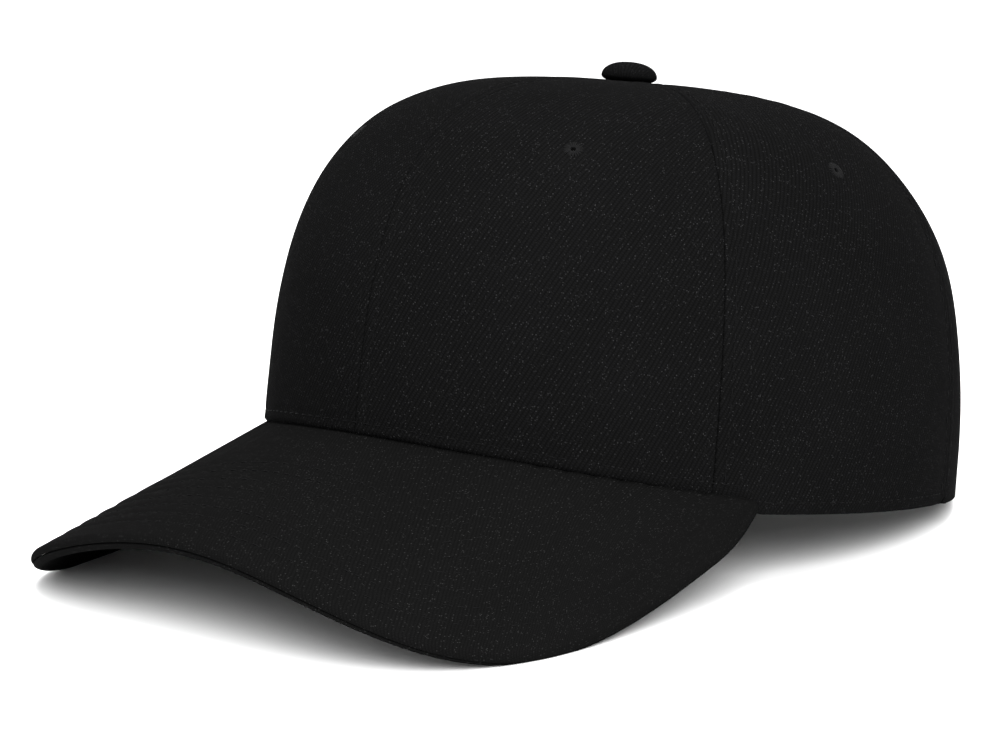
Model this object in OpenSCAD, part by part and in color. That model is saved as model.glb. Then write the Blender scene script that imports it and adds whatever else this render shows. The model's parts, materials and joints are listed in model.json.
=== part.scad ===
// Six-panel baseball cap with a stiffened front, a bowed brim and a snap strap at the back.
//
// The cap is designed in its own frame: the head opening lies in the plane z = 0 around the
// origin, the front looks along -Y and the wearer's left is +X. place() then leans it back
// until it stands on the two brim edges and the back of the crown, as a cap does on a shelf,
// with its origin at the middle of its footprint.

/* [Crown] */
// Width of the crown at the head opening
crown_w = 168; // [150:1:180]
// Length of the crown at the head opening
crown_l = 206; // [190:1:220]
// Height of the crown over the head opening
crown_h = 102.5; // [95:0.5:118]
// How far the button sits ahead of the middle
button_ahead = 8; // [0:0.1:14]
// Angle from the front to the seam between front and side panels
front_seam = 53.5; // [50:0.5:62]
// Angle from the front to the seam between side and back panels
back_seam = 118; // [114:1:130]
// Thickness of the panel cloth
panel_t = 1.1; // [0.8:0.1:1.2]
// Height of the sewn eyelets over the head opening
eyelet_z = 84; // [75:1:88]

/* [Brim] */
// Width of the brim after it is bowed
brim_w = 155; // [150:1:164]
// Reach of the brim ahead of the crown
brim_reach = 56; // [45:1:68]
// Angle from the front to each end of the brim
brim_end = 63; // [58:1:68]
// Downward pitch of the brim at its centre line
brim_pitch = 21.5; // [15:0.1:26]
// Depth of the brim's even bow
brim_bow = 30.5; // [20:0.5:34]
// Extra droop along the brim's sides
brim_droop = 13; // [8:1:20]
// Height of the brim's middle over the head opening, at the crown
join_rise = 8.8; // [5:0.1:14]
// Thickness of the covered brim
brim_t = 4.2; // [3.6:0.1:5]
// Thickness of the stiff board inside the brim
board_t = 2.2; // [1.8:0.1:2.4]

/* [Back opening] */
// Angle from the back to each foot of the arch
arch_angle = 27; // [24:1:30]
// Height of the arch
arch_h = 48; // [42:1:54]
// Height of the snap strap
strap_h = 13; // [11:1:15]
// Thickness of the snap strap
strap_t = 1.1; // [0.9:0.1:1.2]
// Diameter of a strap stud
stud_d = 3.9; // [3.4:0.1:4]
// Diameter of a strap hole
hole_d = 5.1; // [5:0.1:5.4]

/* [Sweatband] */
// Height of the sweatband
band_h = 32; // [26:1:36]
// Thickness of the sweatband cloth
band_t = 0.7; // [0.5:0.1:0.9]

/* [Hidden] */

cloth = "#222329";
lining = "#34353b";
stiffener = "#d8d4c8";
plastic = "#1a1a1c";
steel = "#9a9ca0";

half_w = crown_w / 2;
half_l = crown_l / 2;
gap = 0.2;

// How square the crown's plan shrinks and its height grows at the front, side and back
plan_front = 3.14;
plan_side = 3.35;
plan_back = 3.15;
rise_front = 3.45;
rise_side = 3.19;
rise_back = 2;

// Depths of the layers inside the outer face of the crown
buckram_d = panel_t + gap;
buckram_t = 0.7;
tape_d = buckram_d + buckram_t + gap;
tape_t = 0.5;
tape_w = 12;
padding_d = tape_d + tape_t + gap;
padding_t = 2.2;
band_d = padding_d + padding_t + gap;
tab_d = band_d + band_t + 2 * gap;
tab_t = 0.4;

// The panels stop at this angle of their rise, just under the button
top_turn = 89.6;
panel_rows = 15;
panel_cols = 9;

// Brim outline: a rounded rectangle of this squareness, from the line where the brim ends
rim_square = 3.67;
rim_flare = 0.053;
rim_back = -42;
brim_cols = 40;
brim_rows = 9;
roll_rows = 3;
brim_tuck = 2.6;
// How far the rim turns in under the crown at its ends
rim_tuck = 2.4;
// Turn over which the crown's edge falls behind the brim's end
edge_fall = 4;

// Binding round the arch, and its clearance from the cloth it grips
binding_t = 0.8;
binding_w = 8;
binding_gap = 0.4;
// Turn between two columns round the arch
arch_step = 10;

// Strap: an arc with the crown's own curvature at the back
back_r = half_w * half_w / half_l;
back_y = half_l - back_r;
strap_z = 2;
// How far the wall leans in by the top of the strap's sewn end
wall_lean = 0.4;
hole_in = panel_t + binding_gap + binding_t + gap + wall_lean;
stud_in = hole_in + strap_t + 0.3;
// How far the sweatband gives way to the straps' sewn ends, and over which angles
strap_room = 1.8;
room_from = 141;
room_over = 5;
hinge_turn = 33;
root_turn = 48;
tip_turn = 10.5;
snap_pitch = 6.4;
snap_count = 6;
hinge_gap = 0.3;

// Button
button_r = 7.3;
button_h = 5.8;
// Height of the button's widest ring over its underside
button_waist = 2;
// How far the underside lies below the top of the crown
button_sink = 0.45;
shell_t = 0.6;
cover_t = 0.8;
post_r = 1.6;
washer_r = 6.5;

// Eyelets
eyelet_r = 2.1;
eyelet_hole = 1;
eyelet_flange = 3.1;
thread_t = 0.45;

function unit(v) = v / norm(v);

// Value at angle a that runs from front over side to back values
function around(a, front, side, back) = side + ((cos(a) > 0 ? front : back) - side) * pow(cos(a), 2);

// Head opening outline at angle a from the front, d inside the outer face
function ring(a, d) = 1 / norm([sin(a) / (half_w - d), cos(a) / (half_l - d)]);
function outline(a, d = 0) = ring(a, d) * [sin(a), -cos(a)];

// Crown face at angle a and height z, d inside the outer face
function shrink(a, z, d) =
    pow(1 - pow(z / (crown_h - d), around(a, rise_front, rise_side, rise_back)),
        1 / around(a, plan_front, plan_side, plan_back));
function crown(a, z, d) =
    let (k = shrink(a, z, d), p = outline(a, d))
    [p.x * k, (p.y + button_ahead) * k - button_ahead, z];

// Height of row t (0 at z = low, 1 under the button)
function row_z(a, t, low, d, top = top_turn) =
    let (q = around(a, rise_front, rise_side, rise_back) / 2,
         start = asin(pow(low / (crown_h - d), q)))
    (crown_h - d) * pow(sin(start + (top - start) * t), 1 / q);

// Middle surface of the brim: a straight pitch bowed down to both sides
function bow(x) = brim_bow * pow(x / half_w, 2) + brim_droop * pow(x / half_w, 6);
function bow_slope(x) = (2 * brim_bow * x / half_w + 6 * brim_droop * pow(x / half_w, 5)) / half_w;
function brim_z(p) = join_rise + tan(brim_pitch) * (p.y + half_l) - bow(p.x);
function brim_up(p) = unit([bow_slope(p.x), -tan(brim_pitch), 1]);
function brim_face(p, off) = [p.x, p.y, brim_z(p)] + off * brim_up(p);

// Brim outline in plan at s from -1 (wearer's right end) to 1 (left end)
function rim_radius(t) =
    pow(pow(abs(sin(t)) / (brim_w / 2), rim_square)
        + pow(abs(cos(t)) / (half_l + brim_reach + rim_back), rim_square), -1 / rim_square);
function rim(s) =
    let (r = rim_radius(90 * s), front = r * cos(90 * s) / (half_l + brim_reach + rim_back),
         tuck = rim_tuck * pow(max(0, 1 - front / 0.15), 2))
    [r * sin(90 * s) * (1 + rim_flare * front) - sign(s) * tuck, rim_back - r * cos(90 * s)];
function rim_out(s) =
    let (h = 0.01, along = brim_face(rim(s + h), 0) - brim_face(rim(s - h), 0))
    unit(cross(unit(along), brim_up(rim(s))));

// Lower edge of the crown: on the brim at the front, then down to z = 0 behind the brim's end
function over_brim(a) = let (p = outline(a))
    max(brim_z(p), brim_z(outline(a, panel_t))) + (brim_t / 2 + gap) / brim_up(p).z;
function edge_z(a) =
    abs(a) <= brim_end ? max(0, over_brim(a))
    : max(0, over_brim(brim_end) * (1 - (abs(a) - brim_end) / edge_fall));

// Arch outline at turn b (0 at the left foot, 180 at the right), e outside the cut edge
deg_per_mm = 1 / (back_r * PI / 180);
function arch_a(b, e) = 180 - (arch_angle + e * deg_per_mm) * cos(b);
function arch_z(b, e) = (arch_h + e) * sin(b);

function lerp(a, b, t) = a + (b - a) * t;
function steps(n) = [for (i = [0:n]) i / n];

// Closed solid between two grids of points that have the same rows and columns
module shell(outer, inner) {
    rows = len(outer);
    cols = len(outer[0]);
    n = rows * cols;
    points = [for (g = [outer, inner]) for (row = g) for (p = row) p];
    faces = concat(
        [for (i = [0:rows - 2]) for (j = [0:cols - 2])
            each quad(i * cols + j, i * cols + j + 1, (i + 1) * cols + j + 1, (i + 1) * cols + j)],
        [for (i = [0:rows - 2]) for (j = [0:cols - 2])
            each quad(n + i * cols + j, n + (i + 1) * cols + j,
                      n + (i + 1) * cols + j + 1, n + i * cols + j + 1)],
        [for (i = [0:rows - 2]) each quad(i * cols, (i + 1) * cols, n + (i + 1) * cols, n + i * cols)],
        [for (i = [0:rows - 2]) let (k = i * cols + cols - 1)
            each quad(k, n + k, n + k + cols, k + cols)],
        [for (j = [0:cols - 2]) each quad(j, n + j, n + j + 1, j + 1)],
        [for (j = [0:cols - 2]) let (k = (rows - 1) * cols + j) each quad(k, k + 1, n + k + 1, n + k)]
    );
    polyhedron(points, faces);
}
function quad(a, b, c, d) = [[a, b, c], [a, c, d]];

// Patch of the crown over a list of [angle, lower edge] columns
module patch(columns, d, t, rows = panel_rows, top = top_turn) {
    function face(depth) =
        [for (r = steps(rows)) [for (c = columns) crown(c[0], row_z(c[0], r, c[1], depth, top), depth)]];
    shell(face(d), face(d + t));
}

// Columns from angle a0 to a1 with the crown's own lower edge, raised by lift
function columns(a0, a1, n, lift = 0) = [for (t = steps(n)) [lerp(a0, a1, t), edge_z(lerp(a0, a1, t)) + lift]];

// Half of the seam gap as an angle
seam = 0.08;

// Side panel columns: close together where the edge falls behind the brim's end
function side_columns() = concat(
    columns(front_seam + seam, brim_end, 2),
    [for (t = [0.5, 1]) [brim_end + edge_fall * t, edge_z(brim_end + edge_fall * t)]],
    [for (t = [1:panel_cols]) [lerp(brim_end + edge_fall, back_seam - seam, t / panel_cols), 0]]);

// Back panel columns: round the arch from its top to its foot, then to the side seam
function back_columns() = concat(
    [for (b = [90:-arch_step:0]) [arch_a(b, 0) - seam * (1 - b / 90), max(arch_z(b, 0), 0)]],
    [for (t = [1:5]) [lerp(180 - arch_angle, back_seam, t / 5) + seam, 0]]);

// ---- Standing pose ----------------------------------------------------------------

foot = crown(180 - arch_angle, 0, 0);
rim_low = [for (s = steps(80)) brim_face(rim(2 * s - 1), -brim_t / 2)];
lean = atan(max([for (p = rim_low) (foot.z - p.z) / (foot.y - p.y)]));
function leaned(p) = [p.x, p.y * cos(lean) + p.z * sin(lean), p.z * cos(lean) - p.y * sin(lean)];
floor_z = min([for (p = concat(rim_low, [foot])) leaned(p).z]);
rim_front = min([for (s = steps(80)) let (t = 2 * s - 1)
    leaned(brim_face(rim(t), 0) + brim_t / 2 * rim_out(t)).y]);
crown_back = max([for (z = [0:crown_h / 40:crown_h / 2]) leaned(crown(180, z, -binding_t - binding_gap)).y]);
centre_y = (rim_front + crown_back) / 2;

module place() {
    translate([0, -centre_y, -floor_z]) rotate([-lean, 0, 0]) children();
}

// Turns its children from standing on z = 0 to lying against the crown, facing outward
module on_crown(a, z) {
    p = crown(a, z, 0);
    along = crown(a + 1, z, 0) - crown(a - 1, z, 0);
    up = crown(a, z + 1, 0) - crown(a, z - 1, 0);
    out = unit(cross(along, up));
    translate(p) rotate([0, acos(out.z), atan2(out.y, out.x)]) children();
}

module mirrored(side) {
    mirror([side < 0 ? 1 : 0, 0, 0]) children();
}

// ---- Crown ------------------------------------------------------------------------

module eyelet_hole_at(a) {
    on_crown(a, eyelet_z) cylinder(r = eyelet_r + gap / 2, h = 12, center = true, $fn = 24);
}

front_eyelet = front_seam / 2;
side_eyelet = (front_seam + back_seam) / 2;
back_eyelet = (back_seam + 180) / 2;

module front_panel(side) {
    color(cloth) place() mirrored(side) difference() {
        patch(columns(seam, front_seam - seam, panel_cols), 0, panel_t);
        eyelet_hole_at(front_eyelet);
    }
}

module side_panel(side) {
    color(cloth) place() mirrored(side) difference() {
        patch(side_columns(), 0, panel_t);
        eyelet_hole_at(side_eyelet);
    }
}

module back_panel(side) {
    color(cloth) place() mirrored(side) difference() {
        patch(back_columns(), 0, panel_t);
        eyelet_hole_at(back_eyelet);
    }
}

// Stiff open cloth behind each front panel
module buckram(side) {
    color(stiffener) place() mirrored(side) difference() {
        patch(columns(1, front_seam - 1, panel_cols, 2), buckram_d, buckram_t, 12, 78);
        eyelet_hole_at(front_eyelet);
    }
}

// Tape of even width over the seam at angle a, from low up to near the button
module seam_tape(side, a, low) {
    top = 80;
    function half_turn(z) = asin(tape_w / 2 / (ring(a, tape_d) * shrink(a, z, tape_d)));
    function face(depth) = [for (r = steps(12))
        let (z = row_z(a, r, low, depth, top))
        [for (k = [-1:1]) crown(a + k * half_turn(z), z, depth)]];
    color(lining) place() mirrored(side) shell(face(tape_d), face(tape_d + tape_t));
}

// Folded tape that grips the cut edge of the arch, foot to foot
module arch_binding() {
    outer_d = -binding_gap;
    inner_d = panel_t + binding_gap;
    // Section points as [distance outside the cut edge, depth]
    section = [[binding_w, outer_d], [-binding_gap, outer_d], [-binding_gap, inner_d],
               [binding_w, inner_d], [binding_w, inner_d + binding_t],
               [-binding_gap - binding_t, inner_d + binding_t],
               [-binding_gap - binding_t, outer_d - binding_t], [binding_w, outer_d - binding_t]];
    start = 2;
    turns = concat([start], [for (b = [arch_step:arch_step:180 - arch_step]) b], [180 - start]);
    rings = [for (b = turns) [for (p = section) crown(arch_a(b, p[0]), arch_z(b, p[0]), p[1])]];
    color(lining) place() tube(rings);
}

// Closed solid through rings of points, capped by quads across the U-shaped section
module tube(rings) {
    m = len(rings[0]);
    last = len(rings) - 1;
    faces = concat(
        [for (i = [0:last - 1]) for (j = [0:m - 1]) let (k = (j + 1) % m)
            each quad(i * m + j, (i + 1) * m + j, (i + 1) * m + k, i * m + k)],
        [for (q = [[0, 1, 6, 7], [1, 2, 5, 6], [2, 3, 4, 5]]) each quad(q[0], q[1], q[2], q[3])],
        [for (q = [[0, 7, 6, 1], [1, 6, 5, 2], [2, 5, 4, 3]])
            each quad(last * m + q[0], last * m + q[1], last * m + q[2], last * m + q[3])]
    );
    polyhedron([for (r = rings) for (p = r) p], faces);
}

// Sewn eyelets: a thread-covered sleeve through the cloth with a raised outer ring
module eyelets() {
    color(cloth) place()
        for (side = [-1, 1]) for (a = [front_eyelet, side_eyelet, back_eyelet])
            mirrored(side) on_crown(a, eyelet_z) rotate_extrude($fn = 24) {
                translate([eyelet_hole, -panel_t - thread_t]) square([eyelet_r - eyelet_hole, panel_t + 2 * thread_t]);
                translate([eyelet_hole, gap]) square([eyelet_flange - eyelet_hole, thread_t]);
            }
}

// ---- Button -----------------------------------------------------------------------

module at_button() {
    place() translate([0, -button_ahead, crown_h - button_sink]) children();
}

// Point of the button's profile at turn t, from its tucked lower edge to its top, inset by d
function button_point(t, d) =
    let (z = t < 0 ? button_waist - d : button_h - button_waist - d)
    [(button_r - d) * pow(cos(t), 0.75), button_waist + sign(t) * z * pow(abs(sin(t)), 0.8)];

// Skin of the button between two insets, from turn low up to its top
module button_skin(low, d0, d1) {
    turns = [for (t = steps(14)) lerp(low, 90, t)];
    rotate_extrude($fn = 64) polygon(concat(
        [for (t = turns) button_point(t, d0)],
        [for (i = [len(turns) - 1:-1:0]) button_point(turns[i], d1)]));
}

module button_cover() {
    color(cloth) at_button() button_skin(-35, 0, cover_t);
}

module button_shell() {
    inset = cover_t + gap / 2;
    color(steel) at_button() button_skin(-30, inset, inset + shell_t);
}

// Washer inside the crown with a post that grips the button
module button_prong() {
    washer_z = -3.6;
    color(steel) at_button() {
        translate([0, 0, washer_z]) cylinder(r = washer_r, h = shell_t, $fn = 48);
        translate([0, 0, washer_z]) cylinder(r = post_r, h = button_h - washer_z - cover_t - shell_t - 2 * gap, $fn = 24);
    }
}

// ---- Sweatband --------------------------------------------------------------------

function band_low(a) = max(0.6, abs(a) < brim_end ? brim_z(outline(a)) - 1 : 0);

// Upright strip inside the head opening from angle a0 to a1
module strip(a0, a1, n, lift, h, d, t) {
    function face(depth) = [for (r = steps(4)) [for (c = steps(n))
        let (a = lerp(a0, a1, c), room = strap_room * max(0, min(1, (abs(a) - room_from) / room_over)))
        crown(a, band_low(a) + lift + h * r, depth + room)]];
    shell(face(d), face(d + t));
}

module sweatband() {
    end = 180 - arch_angle - 1;
    color(lining) place() strip(-end, end, 52, 0, band_h, band_d, band_t);
}

module sweatband_padding() {
    color(stiffener) place() strip(-100, 100, 36, 4.5, band_h - 7.5, padding_d, padding_t);
}

// Blank tab sewn to the inner face of the sweatband
module size_tab() {
    color("white") place() strip(128, 140, 4, 5, 22, tab_d, tab_t);
}

// ---- Brim -------------------------------------------------------------------------

// Plan point across the brim: v from 0 under the crown to 1 at the rim
function across(s, v) = lerp(outline(brim_end * s, brim_tuck), rim(s), v);
function brim_grid(off) =
    [for (v = steps(brim_rows)) [for (s = steps(brim_cols)) brim_face(across(2 * s - 1, v), off)]];

// Rows of a rolled edge of radius r round the rim, turning from the face on one side to the edge
function roll_grid(r, side) = [for (k = [1:roll_rows]) [for (c = steps(brim_cols))
    let (s = 2 * c - 1, turn = 90 * k / roll_rows - (k == roll_rows ? 2 : 0))
    brim_face(rim(s), side * r * cos(turn)) + r * sin(turn) * rim_out(s)]];

module brim_board() {
    color(stiffener) place() shell(brim_grid(board_t / 2), brim_grid(-board_t / 2));
}

// Cloth cover on one face of the board, turned over its edge
module brim_cover(side) {
    outer = brim_t / 2;
    inner = board_t / 2 + gap * 0.75;
    skin = concat(brim_grid(side * outer), roll_grid(outer, side));
    lining_face = concat(brim_grid(side * inner), roll_grid(inner, side));
    color(cloth) place()
        if (side > 0) shell(skin, lining_face);
        else shell(lining_face, skin);
}

// ---- Snap strap -------------------------------------------------------------------

// Upright arc of the strap between two turns from the back, towards the wearer's left
module strap_arc(from, to, in) {
    translate([0, back_y, strap_z]) rotate([0, 0, 90 - to])
        rotate_extrude(angle = to - from, $fn = 180)
            translate([back_r - in - strap_t, 0]) square([strap_t, strap_h]);
}

// Turns its children to stand out from the back at turn a, half way up the strap
module at_strap(a, in) {
    translate([0, back_y, strap_z + strap_h / 2]) rotate([0, 0, -a]) translate([0, back_r - in, 0])
        rotate([-90, 0, 0]) children();
}

// Upright pin on the strap's bending line, taller than the strap by extra at each end
module hinge_pin(in, r, extra) {
    translate([0, back_y, strap_z - extra]) rotate([0, 0, 90 - hinge_turn]) translate([back_r - in - strap_t / 2, 0])
        cylinder(r = r, h = strap_h + 2 * extra, $fn = 32);
}

// Free length of a strap with a round tip past the middle
module strap_blade(in) {
    tip_r = strap_h / 2 + 0.6;
    difference() {
        strap_arc(-tip_turn, hinge_turn, in);
        at_strap(tip_r * deg_per_mm - tip_turn, in + strap_t / 2) difference() {
            translate([-2 * tip_r, -strap_h, -2 * strap_t]) cube([2 * tip_r, 2 * strap_h, 4 * strap_t]);
            cylinder(r = tip_r, h = 5 * strap_t, center = true, $fn = 48);
        }
    }
    hinge_pin(in, 0.9 * strap_t / 2, -hinge_gap);
}

// Sewn end of a strap, hollowed round the bending line
module strap_root(in) {
    difference() {
        strap_arc(hinge_turn, root_turn, in);
        hinge_pin(in, strap_t / 2 + hinge_gap, 1);
    }
}

module hole_strap() {
    color(plastic) place() difference() {
        strap_blade(hole_in);
        for (i = [0:snap_count - 1])
            at_strap(snap_pitch * (i - 1), hole_in + strap_t / 2) cylinder(d = hole_d, h = 4 * strap_t, center = true, $fn = 32);
    }
}

module hole_strap_root() {
    color(plastic) place() strap_root(hole_in);
}

module stud_strap() {
    proud = stud_in - hole_in + gap;
    color(plastic) place() mirror([1, 0, 0]) {
        strap_blade(stud_in);
        for (i = [0:snap_count - 1])
            at_strap(snap_pitch * (i - 1), stud_in + strap_t / 2) cylinder(d = stud_d, h = strap_t / 2 + proud, $fn = 32);
    }
}

module stud_strap_root() {
    color(plastic) place() mirror([1, 0, 0]) strap_root(stud_in);
}

// ---- Nodes ------------------------------------------------------------------------

front_panel(1);  // front_panel_left
front_panel(-1);  // front_panel_right
side_panel(1);  // side_panel_left
side_panel(-1);  // side_panel_right
back_panel(1);  // back_panel_left
back_panel(-1);  // back_panel_right
buckram(1);  // buckram_left
buckram(-1);  // buckram_right
seam_tape(1, 0, edge_z(0) + 2);  // tape_front
seam_tape(1, front_seam, edge_z(front_seam) + 2);  // tape_side_left
seam_tape(-1, front_seam, edge_z(front_seam) + 2);  // tape_side_right
seam_tape(1, back_seam, 2);  // tape_back_left
seam_tape(-1, back_seam, 2);  // tape_back_right
seam_tape(1, 180, arch_h + binding_w + 2);  // tape_back
arch_binding();
eyelets();
button_cover();
button_shell();
button_prong();
sweatband();
sweatband_padding();
size_tab();
brim_board();
brim_cover(1);  // brim_top_cover
brim_cover(-1);  // brim_under_cover
hole_strap();
hole_strap_root();
stud_strap();
stud_strap_root();
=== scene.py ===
"""Looks of a six-panel baseball cap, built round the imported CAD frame.

Shapes are worked out in millimetres in the head frame of part.scad (head opening in the plane z = 0,
front towards -Y, wearer's left +X) and put into the CAD frame by to_frame()."""

import json
import math

import bpy
import numpy as np
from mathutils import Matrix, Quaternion, Vector


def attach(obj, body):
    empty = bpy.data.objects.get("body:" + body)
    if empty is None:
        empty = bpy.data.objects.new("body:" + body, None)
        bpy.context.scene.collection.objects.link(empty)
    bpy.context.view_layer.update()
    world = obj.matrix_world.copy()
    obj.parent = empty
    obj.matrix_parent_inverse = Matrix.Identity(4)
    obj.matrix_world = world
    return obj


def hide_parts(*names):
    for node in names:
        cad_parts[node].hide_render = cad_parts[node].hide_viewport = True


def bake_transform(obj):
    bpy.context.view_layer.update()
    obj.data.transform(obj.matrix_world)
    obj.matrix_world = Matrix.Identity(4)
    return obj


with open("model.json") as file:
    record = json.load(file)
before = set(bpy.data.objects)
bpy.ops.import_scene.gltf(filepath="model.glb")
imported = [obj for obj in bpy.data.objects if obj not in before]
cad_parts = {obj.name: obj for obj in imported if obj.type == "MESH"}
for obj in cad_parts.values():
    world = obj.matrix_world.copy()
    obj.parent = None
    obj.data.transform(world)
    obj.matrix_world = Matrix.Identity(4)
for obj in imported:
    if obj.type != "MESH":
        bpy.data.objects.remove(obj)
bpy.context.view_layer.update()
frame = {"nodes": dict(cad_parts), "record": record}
rng = np.random.default_rng(7)

# ---- Sizes repeated from part.scad, in millimetres and degrees -----------------------------------
HALF_W, HALF_L, CROWN_H, AHEAD = 84.0, 103.0, 102.5, 8.0
FRONT_SEAM, BACK_SEAM, TOP_TURN = 53.5, 118.0, 89.6
PLAN, RISE = (3.14, 3.35, 3.15), (3.45, 3.19, 2.0)
PANEL_T, EYELET_Z, EYELET_HOLE = 1.1, 84.0, 1.0
BUCKRAM_D, BUCKRAM_T, TAPE_D, TAPE_T, TAPE_W = 1.3, 0.7, 2.2, 0.5, 12.0
PADDING_D, PADDING_T, BAND_D, BAND_T, BAND_H = 2.9, 2.2, 5.3, 0.7, 32.0
TAB_D, TAB_T = 6.4, 0.4
BRIM_END, BRIM_PITCH, BRIM_BOW, BRIM_DROOP, JOIN_RISE = 63.0, 21.5, 30.5, 13.0, 8.8
BRIM_T, BOARD_T, BRIM_W, BRIM_REACH = 4.2, 2.2, 155.0, 56.0
RIM_SQUARE, RIM_FLARE, RIM_BACK, RIM_TUCK, BRIM_TUCK = 3.67, 0.053, -42.0, 2.4, 2.6
ARCH_ANGLE, ARCH_H, BINDING_T, BINDING_W = 27.0, 48.0, 0.8, 8.0
STRAP_R, STRAP_Y, STRAP_Z, STRAP_H, STRAP_T = 68.505, 34.495, 2.0, 13.0, 1.1
HOLE_IN, STUD_IN, HINGE_TURN, ROOT_TURN, TIP_TURN = 2.9, 4.3, 33.0, 48.0, 10.5
SNAP_PITCH, SNAP_COUNT, STUD_D, HOLE_D = 6.4, 6, 3.9, 5.1
BUTTON_R, BUTTON_H, BUTTON_WAIST, BUTTON_SINK = 7.3, 5.8, 2.0, 0.45
GAP = 0.2

# ---- Sewing and cloth details --------------------------------------------------------------------
FALL_FROM = 58.5  # angle at which the crown's edge starts to fall over the brim's end
EDGE_FALL = 4.5  # degrees over which it falls, a little more than in part.scad
BINDING_GAP = 0.15  # between the binding's skins and the panel, less than in part.scad
BACK_R = 98.0  # radius of the crown's foot beside the arch
PANEL_LEN = 152.0  # length of a panel from its hem to the button, about
EYELET_CUT = EYELET_HOLE + 0.35  # radius of the hole in the cloth under the eyelet's threads
FRONT_ROLL = 0.6  # share of FOLD_R at the centre-front seam
BUTTON_CLEAR = 9.5  # seam stitches stop this far from the crown's axis, under the button
SEAM_HALF = 0.01  # degrees from a seam line to the panel's edge
FOLD_R = 0.5  # roll of the cloth at a seam or hem
TOPSTITCH = 3.0  # distance of a stitch row from its seam
SINK = 0.17  # how deep a stitch row presses into the cloth
BRIM_ROW_1, BRIM_ROW_STEP, BRIM_ROWS = 6.5, 5.15, 8
STITCH = 3.4  # stitch pitch
THREAD_R = 0.13

head = next(m for m in frame["record"]["mounts"] if m["name"] == "head_opening")
LEAN_SIN, LEAN_COS = -head["axis"][1], -head["axis"][2]


def to_frame(p):
    """Head-frame millimetres to CAD-frame metres."""
    p = np.asarray(p, float) * 0.001
    y, z = p[..., 1], p[..., 2]
    return np.stack([p[..., 0] + head["pos_m"][0], y * LEAN_COS + z * LEAN_SIN + head["pos_m"][1],
                     z * LEAN_COS - y * LEAN_SIN + head["pos_m"][2]], -1)


def sind(a):
    return np.sin(np.radians(a))


def cosd(a):
    return np.cos(np.radians(a))


def unit(v):
    return v / np.maximum(np.linalg.norm(v, axis=-1, keepdims=True), 1e-12)


def mix(a, b, t):
    return a + (b - a) * t


def smooth(x):
    x = np.clip(x, 0, 1)
    return x * x * (3 - 2 * x)


def bell(x, width):
    return np.exp(-((x / width) ** 2))


# ---- Surfaces of part.scad -----------------------------------------------------------------------
def around(a, front, side, back):
    return side + (np.where(cosd(a) > 0, front, back) - side) * cosd(a) ** 2


def ring(a, d=0.0):
    return 1 / np.hypot(sind(a) / (HALF_W - d), cosd(a) / (HALF_L - d))


def outline(a, d=0.0):
    return np.stack([ring(a, d) * sind(a), -ring(a, d) * cosd(a)], -1)


def shrink(a, z, d=0.0):
    full = np.clip(1 - (np.maximum(z, 0) / (CROWN_H - d)) ** around(a, *RISE), 1e-9, 1)
    return full ** (1 / around(a, *PLAN))


def crown(a, z, d=0.0):
    k, p = shrink(a, z, d), outline(a, d)
    return np.stack([p[..., 0] * k, (p[..., 1] + AHEAD) * k - AHEAD, z + 0 * k], -1)


def row_z(a, t, low, d=0.0, top=TOP_TURN):
    q = around(a, *RISE) / 2
    start = np.degrees(np.arcsin(np.clip((low / (CROWN_H - d)) ** q, 0, 1)))
    return (CROWN_H - d) * sind(start + (top - start) * t) ** (1 / q)


def crown_normal(a, z):
    z = np.clip(z, 0.2, CROWN_H - 0.3)
    along = crown(a + 0.2, z) - crown(a - 0.2, z)
    up = crown(a, z + 0.1) - crown(a, z - 0.1)
    return unit(np.cross(along, up))


def bow(x):
    return BRIM_BOW * (x / HALF_W) ** 2 + BRIM_DROOP * (x / HALF_W) ** 6


def brim_z(p):
    return JOIN_RISE + math.tan(math.radians(BRIM_PITCH)) * (p[..., 1] + HALF_L) - bow(p[..., 0])


def brim_up(p):
    x = p[..., 0] / HALF_W
    slope = (2 * BRIM_BOW * x + 6 * BRIM_DROOP * x ** 5) / HALF_W
    return unit(np.stack([slope, np.full_like(x, -math.tan(math.radians(BRIM_PITCH))), np.ones_like(x)], -1))


def brim_face(p, off=0.0):
    off = np.asarray(off)[..., None] if np.ndim(off) else off
    return np.concatenate([p, brim_z(p)[..., None]], -1) + off * brim_up(p)


def rim(s):
    reach = HALF_L + BRIM_REACH + RIM_BACK
    t = 90 * s
    across, ahead = np.abs(sind(t) / (BRIM_W / 2)), np.abs(cosd(t) / reach)
    r = (across ** RIM_SQUARE + ahead ** RIM_SQUARE) ** (-1 / RIM_SQUARE)
    front = r * cosd(t) / reach
    tuck = RIM_TUCK * np.maximum(0, 1 - front / 0.15) ** 2
    return np.stack([r * sind(t) * (1 + RIM_FLARE * front) - np.sign(s) * tuck, RIM_BACK - r * cosd(t)], -1)


def rim_out(s):
    along = brim_face(rim(s + 0.01)) - brim_face(rim(s - 0.01))
    return unit(np.cross(unit(along), brim_up(rim(s))))


def over_brim(a):
    p = outline(a)
    return brim_z(p) + (BRIM_T / 2 + GAP) / brim_up(p)[..., 2]


def edge_z(a):
    """Lower edge of the crown: on the brim at the front, then falling to the opening at the brim's end."""
    a = np.abs(np.asarray(a, float))
    return over_brim(np.minimum(a, BRIM_END)) * (1 - smooth((a - FALL_FROM) / EDGE_FALL))


def band_low(a):
    return np.maximum(0.6, np.where(np.abs(a) < BRIM_END, brim_z(outline(a)) - 1, 0))


def per_mm(r):
    """Degrees per millimetre along a circle of radius r."""
    return 180 / (math.pi * r)


def strap(turn, up, depth):
    """Point on the strap's arc at a turn from the back, up millimetres from its lower edge."""
    r = STRAP_R - depth
    return np.stack([r * sind(turn), STRAP_Y + r * cosd(turn), STRAP_Z + up + 0 * r], -1)


# ---- Mesh builders -------------------------------------------------------------------------------
def steps(n):
    return np.linspace(0, 1, n + 1)


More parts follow.
